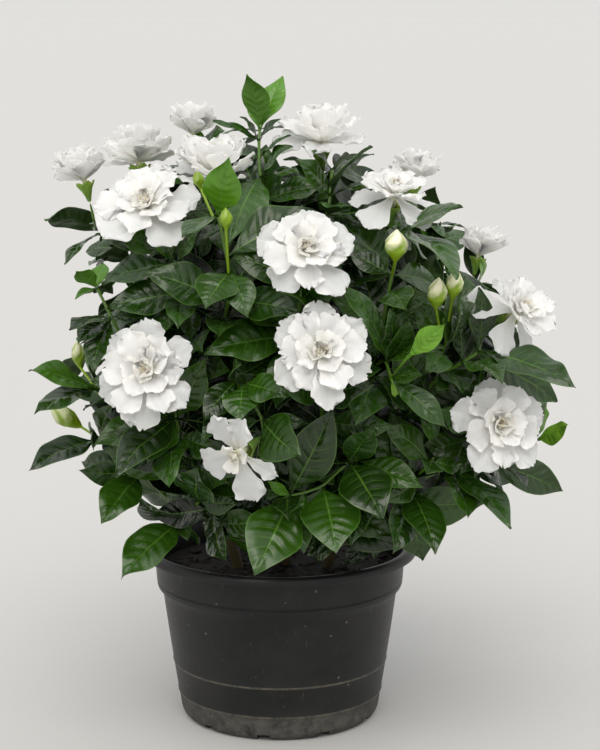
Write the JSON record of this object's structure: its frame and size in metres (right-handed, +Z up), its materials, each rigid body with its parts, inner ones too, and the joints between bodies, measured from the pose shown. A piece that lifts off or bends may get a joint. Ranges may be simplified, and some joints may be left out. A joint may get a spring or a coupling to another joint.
{
  "type": "potted flowering shrub",
  "caption": "Compact evergreen shrub with glossy leaves, double white flowers and buds, standing in a round black plastic nursery pot of soil.",
  "frame": {"origin": "centre of the flat foot under the pot, on the ground", "axes": "+Z up out of the pot; the shrub's front, as in the picture, looks along -Y, with +X to the viewer's right"},
  "size_m": [0.3707, 0.383, 0.4661],
  "materials": {
    "pot_plastic": "satin black moulded plastic, lightly scuffed and dusty",
    "soil": "rough dark potting soil with bits of bark",
    "bark": "grey-brown bark of young woody stems",
    "leaf": "glossy dark green leaves with paler midribs, on green stems",
    "petal": "soft matt white petals, cream at the heart",
    "bud": "pale yellow-green furled buds"
  },
  "bodies": {
    "root": {"bud_01": "bud", "bud_02": "bud", "bud_03": "bud", "bud_04": "bud", "bud_05": "bud", "bud_06": "bud", "bud_07": "bud", "cutting_back": "bark", "cutting_front": "bark", "cutting_left": "bark", "cutting_right": "bark", "flower_01": "petal", "flower_02": "petal", "flower_03": "petal", "flower_04": "petal", "flower_05": "petal", "flower_06": "petal", "flower_07": "petal", "flower_08": "petal", "flower_09": "petal", "flower_10": "petal", "flower_11": "petal", "flower_12": "petal", "flower_13": "petal", "flower_14": "petal", "flower_15": "petal", "flower_16": "petal", "flower_17": "petal", "flower_18": "petal", "pot": "pot_plastic", "potting_soil": "soil", "shoot_01": "leaf", "shoot_02": "leaf", "shoot_03": "leaf", "shoot_04": "leaf", "shoot_05": "leaf", "shoot_06": "leaf", "shoot_07": "leaf", "shoot_08": "leaf", "shoot_09": "leaf", "shoot_10": "leaf", "shoot_11": "leaf", "shoot_12": "leaf", "shoot_13": "leaf", "shoot_14": "leaf", "shoot_15": "leaf", "shoot_16": "leaf", "shoot_17": "leaf", "shoot_18": "leaf", "shoot_left_low": "leaf", "shoot_left_mid": "leaf", "shoot_left_young": "leaf", "shoot_low_front": "leaf", "shoot_low_left": "leaf", "shoot_low_right": "leaf", "shoot_middle": "leaf", "shoot_pair": "leaf", "shoot_right_young": "leaf", "shoot_top": "leaf"}
  },
  "joints": []
}
